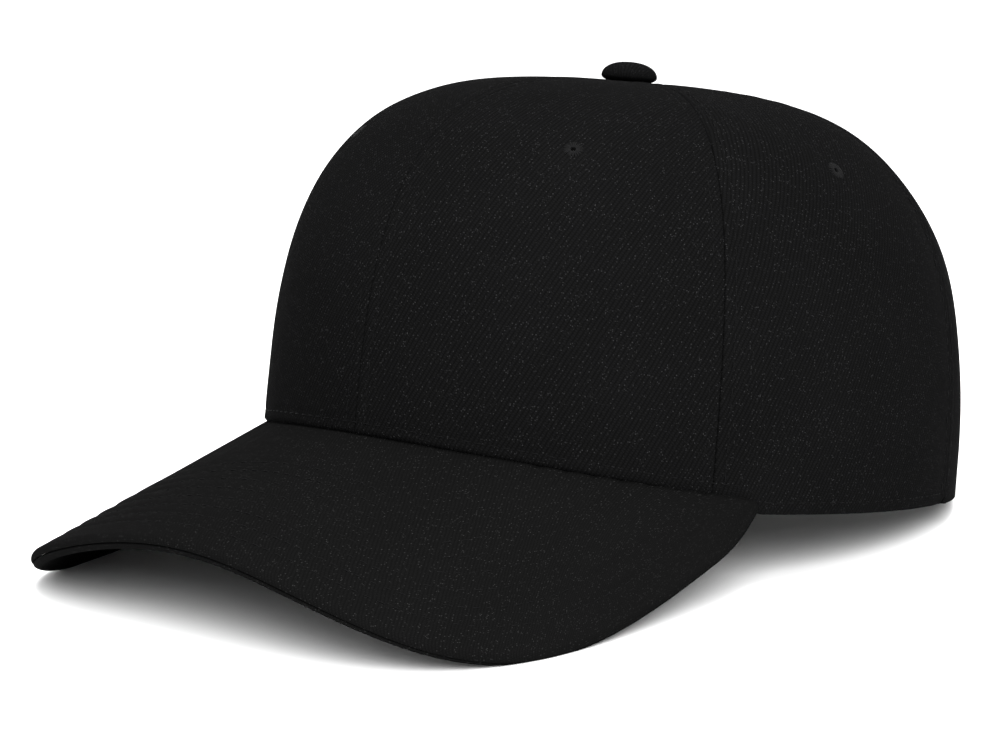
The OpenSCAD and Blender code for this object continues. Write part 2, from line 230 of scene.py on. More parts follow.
def spaced(lo, hi, fine, coarse, marks, grow=0.3):
    """Positions from lo to hi, fine near each of marks and coarse away from them."""
    out = [lo]
    while out[-1] < hi:
        near = min(abs(out[-1] - m) for m in marks)
        out.append(out[-1] + min(coarse, fine + grow * near))
    x = np.array(out)
    return lo + (x - lo) * (hi - lo) / (x[-1] - lo)


def lengths(p, axis):
    """Distance from the start of each line of points along one axis of a grid."""
    step = np.linalg.norm(np.diff(p, axis=axis), axis=-1)
    first = np.zeros_like(np.take(step, [0], axis=axis))
    return np.concatenate([first, np.cumsum(step, axis=axis)], axis=axis)


def add_mesh(name, points, faces, material, cloth=None, sharp=50.0):
    """A piece from head-frame points, with along-the-cloth coordinates in metres for its weave."""
    mesh = bpy.data.meshes.new(name)
    mesh.from_pydata(to_frame(points).tolist(), [], [tuple(f) for f in faces])
    mesh.validate()
    if cloth is not None:
        attribute = mesh.attributes.new("cloth", "FLOAT_VECTOR", "POINT")
        attribute.data.foreach_set("vector", np.asarray(cloth, np.float32).ravel())
    mesh.polygons.foreach_set("use_smooth", [True] * len(mesh.polygons))
    mesh.set_sharp_from_angle(angle=math.radians(sharp))
    mesh.materials.append(material)
    piece = bpy.data.objects.new(name, mesh)
    bpy.context.scene.collection.objects.link(piece)
    return piece


def slab(name, outer, inner, material, u=None, v=None, keep=None, seed=0.0, loop=False,
         sharp=50.0):
    """Closed solid between an outer and an inner grid, open where keep is false.

    With loop, the last column joins the first."""
    rows, cols = outer.shape[:2]
    n = rows * cols
    grid = np.arange(n).reshape(rows, cols)
    nxt = np.roll(grid, -1, axis=1) if loop else grid[:, 1:]
    base = grid if loop else grid[:, :-1]
    cell = np.stack([base[:-1], nxt[:-1], nxt[1:], base[1:]], -1)
    if keep is None:
        keep = np.ones(cell.shape[:2], bool)
    pad = np.pad(keep, 1)
    if loop:
        pad[1:-1, 0], pad[1:-1, -1] = keep[:, -1], keep[:, 0]
    faces = [cell[keep], cell[keep][:, ::-1] + n]
    for k, other in enumerate([pad[:-2, 1:-1], pad[1:-1, 2:], pad[2:, 1:-1], pad[1:-1, :-2]]):
        edge = cell[keep & ~other]
        a, b = edge[:, k], edge[:, (k + 1) % 4]
        faces.append(np.stack([b, a, a + n, b + n], -1))
    faces = np.concatenate(faces)
    used = np.unique(faces)
    renumber = np.full(2 * n, -1)
    renumber[used] = np.arange(len(used))
    points = np.concatenate([outer.reshape(-1, 3), inner.reshape(-1, 3)])[used]
    cloth = None
    if u is not None:
        one = np.stack([u, v, np.full_like(u, seed)], -1).reshape(-1, 3) * 0.001
        cloth = np.concatenate([one, one])[used]
    return add_mesh(name, points, renumber[faces].tolist(), material, cloth, sharp)


def tubes(name, lines, radius, material, sides=6, flat=1.0):
    """Round-ended threads: lines is a list of (points, normals) grids of shape (threads, rings, 3)."""
    all_points, all_faces, start = [], [], 0
    for points, normals in lines:
        count, rings = points.shape[:2]
        along = unit(np.gradient(points, axis=1))
        side = unit(np.cross(along, normals))
        up = np.cross(side, along)
        t = np.linspace(-1, 1, rings)
        size = radius * np.sqrt(np.clip(1.02 - t ** 8, 0, 1))
        turn = np.arange(sides) * 2 * math.pi / sides
        circle = (np.cos(turn)[:, None] * side[:, :, None] + flat * np.sin(turn)[:, None] * up[:, :, None])
        body = points[:, :, None] + size[None, :, None, None] * circle
        index = start + np.arange(count * rings * sides).reshape(count, rings, sides)
        nxt = np.roll(index, -1, axis=2)
        quads = np.stack([index[:, :-1], index[:, 1:], nxt[:, 1:], nxt[:, :-1]], -1).reshape(-1, 4)
        all_points.append(body.reshape(-1, 3))
        all_faces += quads.tolist() + index[:, 0].tolist() + index[:, -1, ::-1].tolist()
        start += index.size
    return add_mesh(name, np.concatenate(all_points), all_faces, material, None, 80.0)


def along_path(path, s):
    """Points of a polyline at distances s from its start."""
    total = lengths(path, 0)
    return np.stack([np.interp(s, total, path[:, k]) for k in range(3)], -1)


def stitches(path, normals, pitch=STITCH, share=0.66, lift=0.03, sink=0.3):
    """Stitch centre lines along a path: each rises out of the cloth, runs along it and dives back in."""
    total = lengths(path, 0)[-1]
    count = max(1, int(total / pitch))
    step = total / count
    begin = (np.arange(count) + 0.5 * (1 - share) + rng.uniform(-0.05, 0.05, count)) * step
    long = share * step * rng.uniform(0.93, 1.05, count)
    t = np.array([0, 0.1, 0.3, 0.5, 0.7, 0.9, 1.0])
    s = begin[:, None] + long[:, None] * t
    points = along_path(path, s)
    normal = unit(np.stack([np.interp(s, lengths(path, 0), normals[:, k]) for k in range(3)], -1))
    height = mix(-sink, lift, np.sin(math.pi * t) ** 0.4)
    return points + normal * height[None, :, None], normal


# ---- Materials -----------------------------------------------------------------------------------
class Nodes:
    """Short calls for building one node material."""

    def __init__(self, name):
        self.material = bpy.data.materials.new(name)
        self.material.use_nodes = True
        self.tree = self.material.node_tree
        self.shader = self.tree.nodes["Principled BSDF"]

    def link(self, value, socket):
        if hasattr(value, "is_output"):
            self.tree.links.new(value, socket)
        else:
            socket.default_value = value

    def node(self, kind, out=0, settings=None, **inputs):
        n = self.tree.nodes.new(kind)
        for key, value in (settings or {}).items():
            setattr(n, key, value)
        for key, value in inputs.items():
            self.link(value, n.inputs[int(key[1:]) if key[0] == "_" else key])
        return n.outputs[out]

    def math(self, operation, a, b=0.0, c=0.0):
        return self.node("ShaderNodeMath", settings={"operation": operation}, _0=a, _1=b, _2=c)

    def add(self, a, b):
        return self.math("ADD", a, b)

    def times(self, a, b):
        return self.math("MULTIPLY", a, b)

    def ramp(self, value, lo, hi, to_lo=0.0, to_hi=1.0):
        return self.node("ShaderNodeMapRange", settings={"interpolation_type": "SMOOTHSTEP"},
                         _0=value, _1=lo, _2=hi, _3=to_lo, _4=to_hi)

    def noise(self, vector, scale, detail=2.0, rough=0.5, out=0):
        return self.node("ShaderNodeTexNoise", out, Vector=vector, Scale=scale, Detail=detail, Roughness=rough)

    def colour(self, factor, a, b):
        a, b = ((*c, 1) if isinstance(c, tuple) else c for c in (a, b))
        return self.node("ShaderNodeMix", 2, {"data_type": "RGBA"}, _0=factor, _6=a, _7=b)

    def cloth(self):
        vector = self.node("ShaderNodeAttribute", 1, {"attribute_name": "cloth"})
        split = self.tree.nodes.new("ShaderNodeSeparateXYZ")
        self.link(vector, split.inputs[0])
        return vector, split.outputs[0], split.outputs[1]

    def finish(self, colour, rough, height=None, bump=0.0002, strength=1.0, **shader):
        self.link(colour, self.shader.inputs["Base Color"])
        self.link(rough, self.shader.inputs["Roughness"])
        for key, value in shader.items():
            self.shader.inputs[key.replace("_", " ")].default_value = value
        if height is not None:
            normal = self.node("ShaderNodeBump", Height=height, Distance=bump, Strength=strength)
            self.link(normal, self.shader.inputs["Normal"])
        return self.material


GLINT_CELLS = 2400.0  # cells of painted glints of light on single fibres, per metre of cloth


def twill(name, dark, light, glint_colour, pitch=1.07, angle=63.0, float_pitch=0.62, depth=0.1, glint_share=0.2,
          rough=0.95, wander=0.35):
    """Twill cloth: slanting ridges of yarn floats, painted glints of light on single fibres and a broad colour
    variation.
    """
    m = Nodes(name)
    vector, u, v = m.cloth()
    warp = m.noise(vector, 260.0, 2.0)
    bend = m.times(m.add(warp, -0.5), wander * pitch * 0.001)
    across = m.math("ADD", m.math("SUBTRACT", m.times(u, math.sin(math.radians(angle))),
                                  m.times(v, math.cos(math.radians(angle)))), bend)
    along = m.math("ADD", m.times(u, math.cos(math.radians(angle))), m.times(v, math.sin(math.radians(angle))))
    wale = m.times(across, 1000 / pitch)
    number = m.math("FLOOR", wale)
    ridge = m.math("SINE", m.times(m.math("FRACT", wale), math.pi))
    floats = m.add(m.times(along, 1000 / float_pitch), m.times(number, 0.37))
    yarn = m.math("SINE", m.times(m.math("FRACT", floats), math.pi))
    fibre = m.noise(vector, 5200.0, 3.0, 0.7)
    broad = m.noise(vector, 38.0, 3.0, 0.6)
    relief = m.add(m.times(m.math("POWER", ridge, 0.7), 0.4), m.times(m.math("POWER", yarn, 0.6), 0.3))
    height = m.add(relief, m.times(fibre, 0.4))
    cell = m.node("ShaderNodeTexVoronoi", 1, Vector=vector, Scale=GLINT_CELLS)
    chance = m.node("ShaderNodeSeparateColor", Color=cell)
    near = cell.node.outputs[0]
    # painted glints: a share of the fibre cells, and more faintly the high spots of the fibre noise, are mixed
    # towards a pale glint colour
    lit = m.times(m.ramp(chance, 1 - glint_share, 1.0), m.ramp(near, 0.45, 0.25))
    glint_haze = m.times(m.ramp(fibre, 0.56, 0.8), 0.35)
    # painted shade: darker between the ridges and along the yarn floats, plus a broad colour variation
    shade = m.add(m.times(m.times(ridge, m.math("POWER", yarn, 0.5)), 0.75), m.times(broad, 0.4))
    base = m.colour(m.ramp(shade, 0.1, 1.1), dark, light)
    glinted = m.colour(m.math("MAXIMUM", lit, glint_haze), base, glint_colour)
    rough_out = m.ramp(fibre, 0.3, 0.7, rough - 0.08, rough + 0.1)
    return m.finish(glinted, rough_out, height, depth * 0.001, 1.0, Specular_IOR_Level=0.005)


def weave(name, dark, light, pitch, depth, rough=0.8, sheen=0.05, open_share=0.0, gloss=0.3):
    """Plain weave of crossing threads, with dark gaps between them where it is open."""
    m = Nodes(name)
    vector, u, v = m.cloth()
    fibre = m.noise(vector, 4200.0, 3.0, 0.7)
    wave_u = m.math("SINE", m.times(u, math.pi * 1000 / pitch))
    wave_v = m.math("SINE", m.times(v, math.pi * 1000 / pitch))
    over = m.times(wave_u, wave_v)
    thread_u, thread_v = m.math("ABSOLUTE", wave_u), m.math("ABSOLUTE", wave_v)
    body = m.math("MAXIMUM", m.times(thread_u, m.ramp(over, -1, 1, 0.55, 1)),
                  m.times(thread_v, m.ramp(over, 1, -1, 0.55, 1)))
    height = m.add(body, m.times(fibre, 0.3))
    # painted shade: darker in the dips between the threads, darkest in the open gaps
    shade = m.ramp(m.add(body, m.times(fibre, 0.25)), 0.25 + open_share, 0.95 + open_share * 0.5)
    grime = m.noise(vector, 45.0, 3.0)
    tone = m.colour(m.ramp(grime, 0.3, 0.8, 0.0, 0.25), m.colour(shade, dark, light), dark)
    return m.finish(tone, m.ramp(fibre, 0.3, 0.7, rough - 0.08, rough + 0.1), height, depth * 0.001, 1.0,
                    Specular_IOR_Level=gloss, Sheen_Weight=sheen, Sheen_Roughness=0.5)


def solid_look(name, dark, light, rough, scale, bump, detail=4.0, **shader):
    """Moulded, foam or metal surface with fine noise in its colour, gloss and relief."""
    m = Nodes(name)
    vector = m.node("ShaderNodeTexCoord", 3)
    fine, broad = m.noise(vector, scale, detail, 0.6), m.noise(vector, scale * 0.06, 3.0)
    tone = m.colour(m.ramp(m.add(m.times(fine, 0.6), m.times(broad, 0.6)), 0.3, 0.9), dark, light)
    rough_out = m.ramp(broad, 0.3, 0.7, rough * 0.85, rough * 1.15)
    return m.finish(tone, rough_out, fine, bump * 0.001, 1.0, **shader)


def foam_look(name, light, dark):
    m = Nodes(name)
    vector = m.node("ShaderNodeTexCoord", 3)
    pores = m.node("ShaderNodeTexVoronoi", 0, Vector=vector, Scale=1500.0)
    # painted shade: the foam is darker in its pores
    tone = m.colour(m.ramp(pores, 0.05, 0.45), dark, light)
    rough_out = m.ramp(m.noise(vector, 60.0), 0.3, 0.7, 0.85, 1.0)
    return m.finish(tone, rough_out, m.ramp(pores, 0.0, 0.5), 0.00025, 1.0, Specular_IOR_Level=0.2)


def brushed(name, tone_a, tone_b):
    """Stamped sheet metal with round drawing lines."""
    m = Nodes(name)
    vector = m.node("ShaderNodeTexCoord", 3)
    lines = m.noise(m.node("ShaderNodeMapping", Vector=vector, Scale=(900.0, 900.0, 12000.0)), 1.0, 2.0)
    tone = m.colour(m.ramp(m.noise(vector, 120.0, 3.0), 0.3, 0.75), tone_a, tone_b)
    return m.finish(tone, m.ramp(lines, 0.3, 0.7, 0.28, 0.42), lines, 0.00003, 0.6, Metallic=1.0)


# the third colour of each twill is its painted glint colour
black_twill = twill("black_twill", (0.0022, 0.0022, 0.0022), (0.0043, 0.0043, 0.00445),
                    (0.0187, 0.0187, 0.0193))
brim_twill = twill("brim_twill", (0.0027, 0.0027, 0.0027), (0.0041, 0.0041, 0.0041), (0.018, 0.018, 0.018),
                   pitch=0.8, depth=0.05, glint_share=0.2, wander=0.7)
band_twill = twill("band_twill", (0.0035, 0.0035, 0.0037), (0.012, 0.012, 0.013), (0.03, 0.03, 0.032),
                   pitch=0.7, angle=45.0, float_pitch=0.5, depth=0.12, glint_share=0.05)
tape_weave = weave("tape_weave", (0.0025, 0.0025, 0.0026), (0.0085, 0.0085, 0.0088), 0.55, 0.12,
                   rough=0.9, sheen=0.0, gloss=0.03)
buckram_weave = weave("buckram_weave", (0.10, 0.095, 0.085), (0.74, 0.72, 0.66), 0.95, 0.35,
                      open_share=0.12)
tab_weave = weave("tab_weave", (0.5, 0.5, 0.49), (0.82, 0.82, 0.8), 0.3, 0.06)
thread_look = solid_look("black_thread", (0.0019, 0.0019, 0.002), (0.0052, 0.0052, 0.0054), 0.7,
                         3000.0, 0.05, Specular_IOR_Level=0.04)
eyelet_look = solid_look("eyelet_thread", (0.0024, 0.0024, 0.0025), (0.0058, 0.0058, 0.006), 0.7,
                         3000.0, 0.05, Specular_IOR_Level=0.05)
plastic_look = solid_look("black_plastic", (0.004, 0.004, 0.0042), (0.008, 0.008, 0.0084), 0.42, 1400.0, 0.02,
                          Specular_IOR_Level=0.22)
board_look = solid_look("board_plastic", (0.55, 0.55, 0.52), (0.7, 0.7, 0.66), 0.5, 900.0, 0.04)
foam = foam_look("padding_foam", (0.62, 0.60, 0.55), (0.32, 0.30, 0.27))
metal_look = brushed("button_metal", (0.42, 0.42, 0.43), (0.62, 0.62, 0.63))


# ---- Crown panels --------------------------------------------------------------------------------
EYELETS = [s * a for a in (FRONT_SEAM / 2, (FRONT_SEAM + BACK_SEAM) / 2, (BACK_SEAM + 180) / 2)
           for s in (1, -1)]


def fold(x, r):
    """Depth of a cloth edge that rolls under, x away from the edge."""
    x = np.clip(x, 0, r)
    return r - np.sqrt(r * r - (r - x) ** 2)


def ripples(u, v, amount, seed):
    """Soft unevenness of unstiffened cloth, from a few seeded waves."""
    wave = np.random.default_rng(int(seed))
    total = 0 * u
    for _ in range(9):
        long, turn, phase = wave.uniform(16, 46), wave.uniform(0, math.pi), wave.uniform(0, 2 * math.pi)
        across = u * math.cos(turn) + v * math.sin(turn)
        total = total + np.sin(across * 2 * math.pi / long + phase) * long / 40
    return amount * total / 3


def panel_rows():
    """Row positions up a panel: close together at the hem and at the eyelet."""
    z = row_z(30.0, steps(300), 8.0)
    eyelet_t = np.interp(EYELET_Z, z, steps(300))
    return spaced(0, PANEL_LEN, 0.3, 1.35, [0, eyelet_t * PANEL_LEN], 0.16) / PANEL_LEN


def panel(name, a, low, eyelet, hem, soft, seed, gather=0.0):
    """One panel of the crown over columns at angles a, whose lower edge is low.

    soft is the size of its waves and gather the depth of the puckers beside its seams."""
    t = panel_rows()[:, None]
    z = row_z(a, t, low)
    base = crown(a, z)
    e = 0.002
    up = crown(a, row_z(a, np.minimum(t + e, 1), low)) - crown(a, row_z(a, np.maximum(t - e, 0), low))
    lo_a = np.interp(a - 0.05, a, low, left=low[0], right=low[-1])
    hi_a = np.interp(a + 0.05, a, low, left=low[0], right=low[-1])
    along = crown(a + 0.05, row_z(a + 0.05, t, hi_a)) - crown(a - 0.05, row_z(a - 0.05, t, lo_a))
    normal = unit(np.cross(along, up))
    from_start, up_len = lengths(base, 1), lengths(base, 0)
    from_end = from_start[:, -1:] - from_start
    middle = int(np.argmin(np.abs(a - eyelet)))
    u = from_start - from_start[:, middle:middle + 1]
    v = up_len + low

    inset = 0 * u
    for dist, seam in ((from_start, a[0]), (from_end, a[-1])):
        line = np.where(from_start[:, -1:] > 3 * TOPSTITCH, 1.0, 0.0)
        roll_r = FOLD_R * (FRONT_ROLL if abs(seam) < 1 else 1)
        inset += fold(dist, roll_r) + SINK * bell(dist - TOPSTITCH, 0.5) * line
        inset -= 0.16 * bell(dist - 1.7, 0.8) * line
        pull = 0.5 + 0.5 * np.sin(v * 2 * math.pi / 7.3 + seed + 1.5 * np.sin(v / 11.0 + seed))
        inset += gather * pull * bell(dist - 2.0, 5.0) * smooth((dist - 0.2) / 2)
    if hem:
        inset += fold(up_len, 2 * FOLD_R) + SINK * bell(up_len - TOPSTITCH, 0.5)
    eye = crown(np.array(eyelet), np.array(EYELET_Z))
    out = crown_normal(np.array(eyelet), np.array(EYELET_Z))
    side = unit(np.cross([0, 0, 1], out))
    rel = base - eye
    dist = np.linalg.norm(rel, axis=-1)
    turn = np.arctan2(rel @ np.cross(out, side), rel @ side)
    inset += 0.22 * bell(dist, 3.6) + 0.08 * np.cos(6 * turn + seed) * bell(dist - 4.4, 1.9)
    inset += 0.07 * np.cos(3 * turn - seed) * bell(dist - 6.5, 2.6)
    calm = smooth(from_start / 12) * smooth(from_end / 12) * smooth(up_len / 14) * smooth(dist / 8)
    to_seam = np.minimum(from_start, from_end)
    inset += ripples(u, v, soft, seed) * (0.15 + 0.85 * calm) * smooth(to_seam / 3 + (not hem))
    outer = base - normal * inset[..., None]
    inner = base - normal * (PANEL_T + np.maximum(inset, 0) * 0.35)[..., None]

    keep = np.linalg.norm((base[:-1, :-1] + base[1:, 1:]) / 2 - eye, axis=-1) > EYELET_CUT
    pad = np.pad(keep, 1, constant_values=True)
    parts = np.stack([pad[:-1, :-1], pad[1:, :-1], pad[:-1, 1:], pad[1:, 1:]])
    edge = parts.any(0) & ~parts.all(0)
    for face in (outer, inner):
        offset = face[edge] - eye
        flat = offset - (offset @ out)[:, None] * out
        face[edge] += unit(flat) * EYELET_CUT - flat
    piece = slab(name, outer, inner, black_twill, u, v, keep, seed * 37.0)
    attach(piece, "cap")
    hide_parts(name)
    flat = (float(np.ptp(u)) / 1000, float(np.ptp(v)) / 1000)


def column_angles(a0, a1, eyelet, marks=()):
    return spaced(a0, a1, 0.16, 0.95, [a0, a1, eyelet, *marks], 0.22)


def sided(a, side):
    """The left half's column angles, or their mirror image for the right half, in rising order."""
    return a if side > 0 else -a[::-1]


for side, hand in ((1, "left"), (-1, "right")):
    a = sided(column_angles(SEAM_HALF, FRONT_SEAM - SEAM_HALF, FRONT_SEAM / 2), side)
    panel(f"front_panel_{hand}", a, edge_z(a), side * FRONT_SEAM / 2, True, 0.10, 1.0 + (side < 0))
    side_eye = (FRONT_SEAM + BACK_SEAM) / 2
    falls = (BRIM_END, BRIM_END + EDGE_FALL)
    a = sided(column_angles(FRONT_SEAM + SEAM_HALF, BACK_SEAM - SEAM_HALF, side_eye, falls), side)
    panel(f"side_panel_{hand}", a, edge_z(a), side * side_eye, True, 0.30, 3.0 + (side < 0), gather=0.22)
    # Back panel: round the arch from its top to its foot, then on to the side seam
    b = 90 * (1 - steps(72))
    arch = 180 - ARCH_ANGLE * cosd(b) - SEAM_HALF * steps(72)
    rest = 180 - ARCH_ANGLE - spaced(0, 180 - ARCH_ANGLE - BACK_SEAM - SEAM_HALF, 0.16, 0.95,
                                     [180 - ARCH_ANGLE - BACK_SEAM, 0], 0.22)[1:]
    a = np.concatenate([arch, rest])
    low = np.concatenate([np.maximum(ARCH_H * sind(b), 0), 0 * rest])
    order = slice(None, None, -1)
    a, low = (a[order], low[order]) if side > 0 else (-a, low)
    panel(f"back_panel_{hand}", a, low, side * (BACK_SEAM + 180) / 2, False, 0.32, 5.0 + (side < 0),
          gather=0.12)


# ---- Under the crown: stiffener, seam tapes ------------------------------------------------------
def patch(name, a, low, top, d, thick, material, rows=60, seed=0.0):
    """Stiffener behind a panel, d under the crown's surface, from low up to a row of the crown."""
    t = steps(rows)[:, None]
    z = row_z(a, t, low, d, top)
    outer, inner = crown(a, z, d), crown(a, row_z(a, t, low, d + thick, top), d + thick)
    u, v = lengths(outer, 1), lengths(outer, 0)
    u = u - u[:, -1:] / 2
    piece = slab(name, outer, inner, material, u, v, None, seed)
    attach(piece, "cap")
    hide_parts(name)


for side, hand in ((1, "left"), (-1, "right")):
    a = sided(mix(1.0, FRONT_SEAM - 1, steps(44)), side)
    patch(f"buckram_{hand}", a, edge_z(a) + 2, 78.0, BUCKRAM_D, BUCKRAM_T, buckram_weave,
          seed=400.0 + side)

thread_lines = {f"{kind}_stitches": [] for kind in ("seam", "edge", "brim", "band", "tape")}


def tape(name, a, low):
    """Woven tape over a seam inside the crown, with a sewn line near each edge."""
    z = row_z(a, steps(90), low, TAPE_D, 80.0)
    half = np.degrees(np.arcsin(TAPE_W / 2 / (ring(a, TAPE_D) * shrink(a, z, TAPE_D))))
    w = np.array([-1, -0.94, -0.8, -0.72, -0.64, -0.3, 0, 0.3, 0.64, 0.72, 0.8, 0.94, 1])
    relief = np.array([0.2, 0.02, 0, 0.12, 0, -0.05, 0.06, -0.05, 0, 0.12, 0, 0.02, 0.2])
    outer = crown(a + w * half[:, None], z[:, None] + 0 * w, TAPE_D)
    normal = crown_normal(a + w * half[:, None], z[:, None] + 0 * w)
    wobble = 0.05 * np.sin(lengths(outer, 0) / 3.1 + 5 * w)
    inner = outer - normal * (TAPE_T - relief + wobble)[..., None]
    u, v = lengths(outer, 1) - TAPE_W / 2, lengths(outer, 0)
    piece = slab(name, outer, inner, tape_weave, u, v, None, a)
    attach(piece, "cap")
    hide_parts(name)
    for k in (3, 9):
        line = outer[:, k] - normal[:, k] * (TAPE_T - 0.08)
        thread_lines["tape_stitches"].append(stitches(line, -normal[:, k]))


tape("tape_front", 0.0, float(edge_z(0.0)) + 2)
for side, hand in ((1, "left"), (-1, "right")):
    tape(f"tape_side_{hand}", side * FRONT_SEAM, float(edge_z(FRONT_SEAM)) + 2)
    tape(f"tape_back_{hand}", side * BACK_SEAM, 2.0)
tape("tape_back", 180.0, ARCH_H + BINDING_W + 2)


# ---- Stitch rows on the crown --------------------------------------------------------------------
def crown_path(a, z, depth):
    p = crown(a, z)
    n = crown_normal(a, z)
    return p - n * depth, n


for seam, low in ((0.0, edge_z(0.0)), (FRONT_SEAM, edge_z(FRONT_SEAM)), (-FRONT_SEAM, edge_z(FRONT_SEAM)),
                  (BACK_SEAM, 0.0), (-BACK_SEAM, 0.0), (180.0, ARCH_H + BINDING_W)):
    z = row_z(seam, np.linspace(0.004, 1, 400), float(low))
    z = z[ring(seam) * shrink(seam, z) > BUTTON_CLEAR]
    for way in (-1, 1):
        a = seam + way * np.degrees(TOPSTITCH / (ring(seam) * shrink(seam, z)))
        thread_lines["seam_stitches"].append(stitches(*crown_path(a, z, SINK - 0.04)))

foot = 180 - ARCH_ANGLE - (BINDING_W + 1.5) * per_mm(BACK_R)
a = np.linspace(-foot, foot, 700)
thread_lines["edge_stitches"].append(stitches(*crown_path(a, edge_z(a) + TOPSTITCH, SINK - 0.04)))


# ---- Arch binding --------------------------------------------------------------------------------
def arch(b, e):
    return 180 - (ARCH_ANGLE + e * per_mm(STRAP_R)) * cosd(b), (ARCH_H + e) * sind(b)


def binding_section():
    """Rounded U as (distance outside the cut edge, depth): its outer skin, then the inner one back."""
    inside, half = PANEL_T + BINDING_GAP, PANEL_T / 2 + BINDING_GAP + BINDING_T
    mid = PANEL_T / 2
    turns = [math.radians(t) for t in np.linspace(90, 270, 13)]
    skin = [(BINDING_W, mid - half + 0.25), (BINDING_W - 0.35, mid - half), (5.0, mid - half - 0.05),
            (3.0, mid - half - 0.12), (1.2, mid - half + 0.02)]
    skin += [(0.75 * half * math.cos(t) + 0.15, mid - half * math.sin(t)) for t in turns]
    skin += [(1.2, mid + half - 0.02), (3.0, mid + half + 0.06), (5.0, mid + half),
             (BINDING_W - 0.35, mid + half), (BINDING_W, mid + half - 0.25)]
    core = [(BINDING_W, mid + half - BINDING_T + 0.1), (-BINDING_GAP, inside), (-BINDING_GAP, -BINDING_GAP),
            (BINDING_W, mid - half + BINDING_T - 0.1)]
    return np.array(skin + core)


section = binding_section()
b = np.linspace(2.0, 178.0, 150)
e, d = section[:, 0], section[:, 1]
arch_a, arch_z = arch(b[:, None], e[None])
n_arch = crown_normal(arch_a, arch_z)
loop_points = crown(arch_a, arch_z) - n_arch * d[None, :, None]
waver = 0.05 * np.sin(b * 1.1)[:, None] + 0.04 * np.sin(b * 0.37 + 2)[:, None]
loop_points = loop_points + n_arch * waver[..., None] * (np.abs(d - 0.5) > 0.7)[None, :, None]
rings, m = loop_points.shape[:2]
index = np.arange(rings * m).reshape(rings, m)
nxt = np.roll(index, -1, axis=1)
quads = np.stack([index[:-1], index[1:], nxt[1:], nxt[:-1]], -1).reshape(-1, 4)
caps = [index[0].tolist(), index[-1, ::-1].tolist()]
u_arch = np.tile(np.concatenate([[0], np.cumsum(np.hypot(*np.diff(section, axis=0).T))]), (rings, 1))
v_arch = np.tile(lengths(loop_points, 0)[:, 4:5], (1, m))
binding = add_mesh("arch_binding", loop_points.reshape(-1, 3), quads.tolist() + caps, tape_weave,
                   np.stack([u_arch, v_arch, 0 * u_arch], -1).reshape(-1, 3) * 0.001)
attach(binding, "cap")
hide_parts("arch_binding")
for depth_row, way in ((-BINDING_T - 0.14, 1), (PANEL_T + BINDING_T + 0.14, -1)):
    a_row, z_row = arch(np.linspace(4, 176, 300), BINDING_W - 1.6)
    p_row, n_row = crown_path(a_row, z_row, depth_row)
    thread_lines["edge_stitches"].append(stitches(p_row, way * n_row))


# ---- Eyelets: threads wound through the hole and over a raised ring ------------------------------
def eyelet_threads():
    wraps = 40
    turns = np.arange(wraps) * 2 * math.pi / wraps
    radius = np.array([1.0, 0.8, 0.66, 0.76, 1.1, 1.5, 2.0, 2.4, 2.65])
    height = np.array([-1.5, -0.8, 0.05, 0.26, 0.36, 0.36, 0.3, 0.18, -0.05])
    lines = []
    for eye in EYELETS:
        p = crown(np.array(eye), np.array(EYELET_Z))
        out = crown_normal(np.array(eye), np.array(EYELET_Z))
        side = unit(np.cross([0, 0, 1.0], out))
        other = np.cross(out, side)
        lean = turns + rng.uniform(-0.05, 0.05, wraps)
        r = radius * (1 + (radius > 2) * rng.uniform(-0.06, 0.05, (wraps, 1)))
        radial = np.cos(lean)[:, None] * side + np.sin(lean)[:, None] * other
        points = p + radial[:, None] * r[..., None] + out * (height - 0.3)[None, :, None]
        slope = unit(radial[:, None] * 0.6 + out[None, None])
        lines.append((points, slope + 0 * points))
    return lines


eyelet_piece = tubes("eyelets", eyelet_threads(), 0.15, eyelet_look)
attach(eyelet_piece, "cap")
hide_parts("eyelets")


# ---- Button --------------------------------------------------------------------------------------
def button_cover():
    """Domed cover, pinched in at its waist and drawn into soft pleats underneath."""
    turns, spins = np.linspace(-66, 90, 40), np.arange(96) * 360 / 96
    t, w = np.meshgrid(turns, spins, indexing="ij")
    half = np.where(t < 0, BUTTON_WAIST, BUTTON_H - BUTTON_WAIST)
    r = BUTTON_R * np.maximum(cosd(t), 0.002) ** 0.9
    z = BUTTON_WAIST + np.sign(t) * half * np.abs(sind(t)) ** 0.97
    pleat = np.cos(np.radians(14 * w + 40 * sind(3 * w))) * smooth((10 - t) / 70) * 0.14
    r = r + pleat - 0.1 * smooth((t - 60) / 30)

    def place(r, z):
        return np.stack([r * sind(w), -r * cosd(w) - AHEAD, z + CROWN_H - BUTTON_SINK], -1)

    skin, lining = place(r, z), place(np.maximum(r - 0.8 * cosd(t), 0.001), z - 0.8 * sind(t))
    flat = np.radians(90 - t) * BUTTON_R
    piece = slab("button_cover", skin, lining, black_twill, flat * sind(w), flat * cosd(w),
                 None, 900.0, True)
    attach(piece, "cap")
    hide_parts("button_cover")


button_cover()


# ---- Sweatband, padding, tab ---------------------------------------------------------------------
def strap_room(a):
    """How far the sweatband gives way to the straps' sewn ends."""
    return 1.8 * smooth((np.abs(a) - 141) / 5)


def strip(name, a0, a1, cols, rows, lift, h, d, material, wave, profile, seed=0.0):
    """Upright strip inside the head opening.

    wave(a, t) leans it inward, where there is one, and profile(t) is its thickness."""
    a = mix(a0, a1, steps(cols))
    t = rows[:, None]
    z = band_low(a) + lift + h * t
    lean = (wave(a, t) if wave else 0.0) + strap_room(a)
    thin = profile(t) + 0 * a
    outer, inner = crown(a, z, d + lean), crown(a, z, d + lean + thin)
    u, v = lengths(outer, 1), lengths(outer, 0)
    piece = slab(name, outer, inner, material, u, v, None, seed)
    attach(piece, "cap")
    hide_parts(name)
    return piece, u


